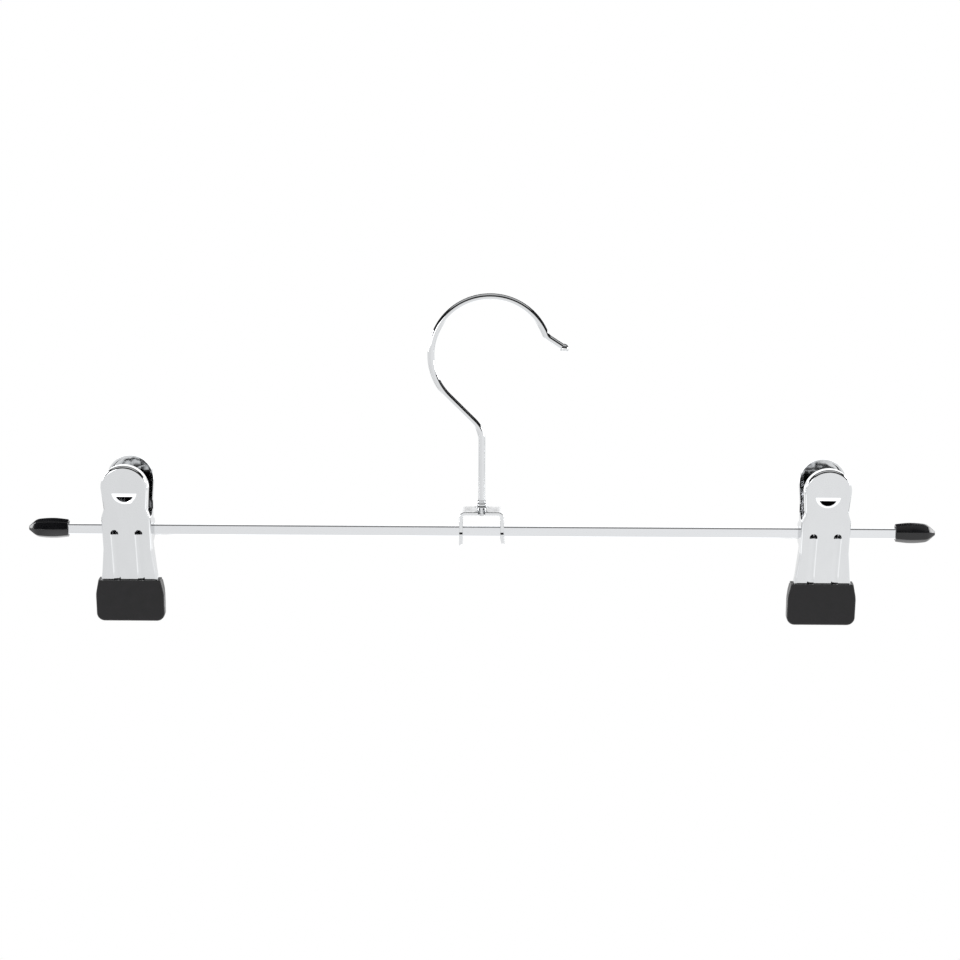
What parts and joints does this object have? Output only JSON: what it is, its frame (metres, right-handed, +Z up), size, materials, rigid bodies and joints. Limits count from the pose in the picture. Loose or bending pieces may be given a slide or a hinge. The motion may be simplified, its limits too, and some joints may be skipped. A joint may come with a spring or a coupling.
{
  "type": "skirt hanger",
  "caption": "Chrome skirt hanger: an open swivel hook riveted to a bracket on a square bar, with sprung clips that slide along the bar and grip a waistband between dark boots.",
  "frame": {"origin": "where the rail carries the hook: on the inside of the hook's arc, straight above the swivel", "axes": "+X along the bar, towards the clip on the viewer's right; -Y towards the viewer; +Z up"},
  "size_m": [0.4, 0.0248, 0.1475],
  "materials": {
    "hook_wire": "polished",
    "bracket_sheet": "polished",
    "bar": "polished",
    "clip_sheet": "bright, slightly brushed",
    "spring_wire": "bright",
    "end_cap": "satin gloss",
    "jaw_boot": "soft satin"
  },
  "bodies": {
    "hook": {"hook": "hook_wire"},
    "bar": {"swivel_bush": "hook_wire", "hook_bracket": "bracket_sheet", "cross_bar": "bar", "left_end_cap": "end_cap", "right_end_cap": "end_cap"},
    "left_clip": {"left_front_plate": "clip_sheet", "left_front_boot": "jaw_boot", "left_spring": "spring_wire"},
    "left_rear_jaw": {"left_rear_plate": "clip_sheet", "left_rear_boot": "jaw_boot"},
    "right_clip": {"right_front_plate": "clip_sheet", "right_front_boot": "jaw_boot", "right_spring": "spring_wire"},
    "right_rear_jaw": {"right_rear_plate": "clip_sheet", "right_rear_boot": "jaw_boot"}
  },
  "joints": [
    {"name": "hook_swivel", "type": "hinge", "parent": "hook", "child": "bar", "pos_m": [0, 0, -0.10246], "axis": [0, 0, 1], "continuous": true},
    {"name": "left_clip_slide", "type": "slide", "parent": "bar", "child": "left_clip", "axis": [1, 0, 0], "range_m": [-0.0156, 0.1348]},
    {"name": "right_clip_slide", "type": "slide", "parent": "bar", "child": "right_clip", "axis": [1, 0, 0], "range_m": [-0.1293, 0.0206]},
    {"name": "left_jaw_hinge", "type": "hinge", "parent": "left_clip", "child": "left_rear_jaw", "pos_m": [-0.1558, 0, -0.10246], "axis": [1, 0, 0], "range_deg": [0, 25], "stiffness_Nm_per_rad": 0.35, "springref_deg": -60.16, "deforming": ["left_spring"]},
    {"name": "right_jaw_hinge", "type": "hinge", "parent": "right_clip", "child": "right_rear_jaw", "pos_m": [0.1508, 0, -0.10246], "axis": [1, 0, 0], "range_deg": [0, 25], "stiffness_Nm_per_rad": 0.35, "springref_deg": -60.16, "deforming": ["right_spring"]}
  ]
}
